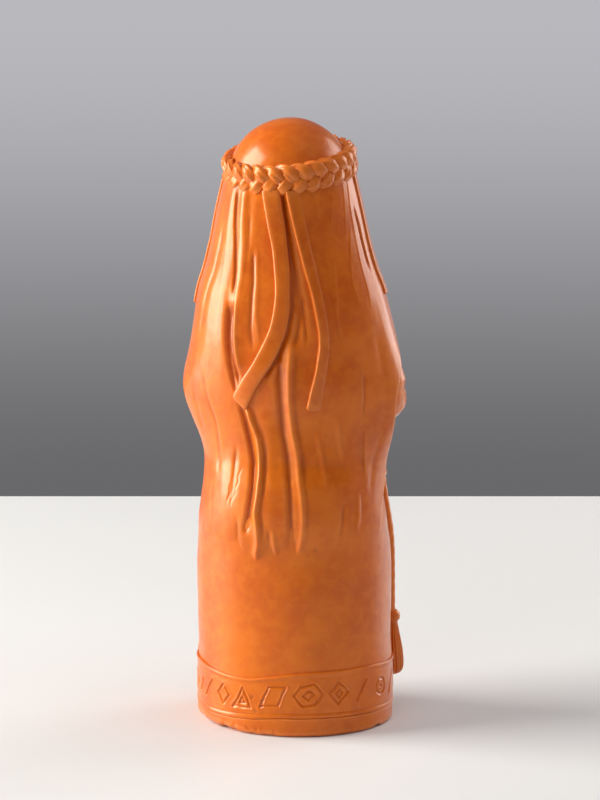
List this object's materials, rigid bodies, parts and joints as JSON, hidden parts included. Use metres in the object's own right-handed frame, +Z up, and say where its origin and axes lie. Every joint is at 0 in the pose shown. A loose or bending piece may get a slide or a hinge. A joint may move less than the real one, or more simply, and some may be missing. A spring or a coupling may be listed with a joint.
{
  "type": "goddess figurine",
  "caption": "Standing cast figurine of a long-haired woman with a plaited circlet, ribbons, tasselled hip cord and a decorated hem.",
  "frame": {"origin": "centre of the flat underside", "axes": "+Z up through the crown; the figure faces -Y; +X is her left"},
  "size_m": [0.0545, 0.0477, 0.15],
  "materials": {
    "terracotta_paint": "satin orange paint over a cast body, slightly mottled, with small pits and a worn foot rim"
  },
  "bodies": {
    "root": {"foot_plinth": "terracotta_paint", "hem_band": "terracotta_paint", "dress_core": "terracotta_paint", "head": "terracotta_paint", "crown_cap": "terracotta_paint", "hair_mantle": "terracotta_paint", "circlet_strand_1": "terracotta_paint", "circlet_strand_2": "terracotta_paint", "circlet_strand_3": "terracotta_paint", "back_ribbon_left": "terracotta_paint", "back_ribbon_right": "terracotta_paint", "side_ribbon_left": "terracotta_paint", "side_ribbon_right": "terracotta_paint", "sleeve_left": "terracotta_paint", "sleeve_right": "terracotta_paint", "cuff_left": "terracotta_paint", "cuff_right": "terracotta_paint", "hand_left": "terracotta_paint", "hand_right": "terracotta_paint", "waist_cord": "terracotta_paint", "cord_knot_left": "terracotta_paint", "cord_knot_right": "terracotta_paint", "hanging_cord_left": "terracotta_paint", "hanging_cord_right": "terracotta_paint", "tassel_head_left": "terracotta_paint", "tassel_head_right": "terracotta_paint", "tassel_skirt_left": "terracotta_paint", "tassel_skirt_right": "terracotta_paint", "neck_band": "terracotta_paint", "front_lock_left": "terracotta_paint", "front_lock_right": "terracotta_paint"}
  },
  "joints": []
}
